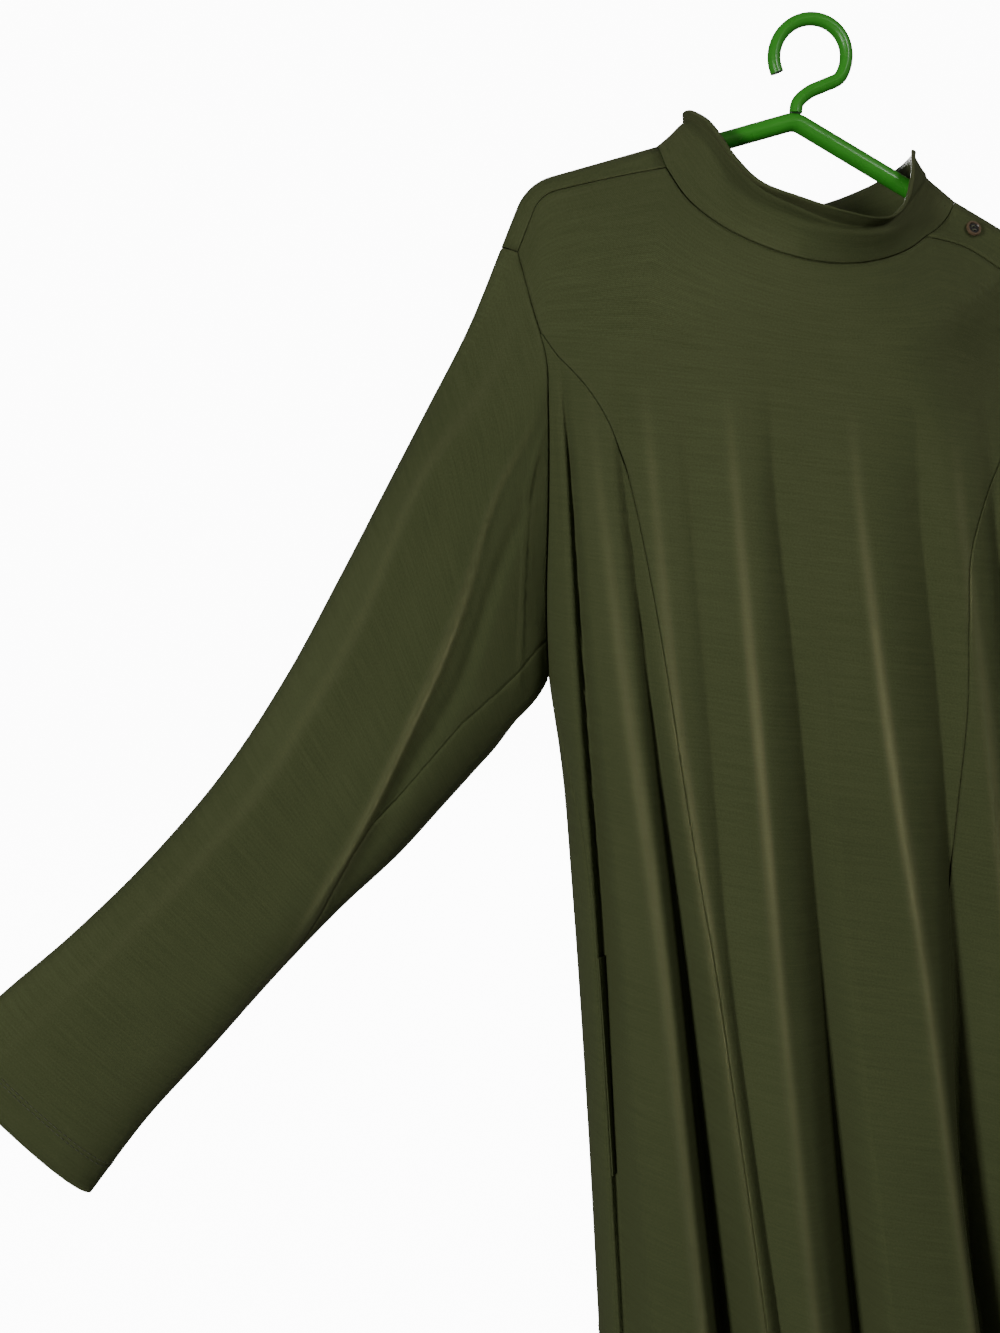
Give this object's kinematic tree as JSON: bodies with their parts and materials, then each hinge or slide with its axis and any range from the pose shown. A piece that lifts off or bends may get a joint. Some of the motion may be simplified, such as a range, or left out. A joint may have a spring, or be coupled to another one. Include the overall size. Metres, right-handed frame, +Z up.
{
  "type": "long-sleeved knit tunic on a hanger",
  "caption": "Long-sleeved olive knit tunic with a mock neck, princess seams and a shoulder button, hanging askew on a green plastic hanger.",
  "frame": {"origin": "where the inside of the hanger's hook bears on its rail", "axes": "+Z up, -Y out of the garment's front, +X towards the wearer's left"},
  "size_m": [1.0942, 0.1564, 0.928],
  "materials": {
    "olive_knit": "soft matte jersey knit",
    "green_plastic": "glossy moulded plastic",
    "horn_plastic": "polished brown"
  },
  "bodies": {
    "root": {"front_centre": "olive_knit", "front_side_right": "olive_knit", "front_side_left": "olive_knit", "back": "olive_knit", "sleeve_right": "olive_knit", "sleeve_left": "olive_knit", "collar": "olive_knit", "button": "horn_plastic", "hanger_frame": "green_plastic", "hanger_hook": "green_plastic"}
  },
  "joints": []
}
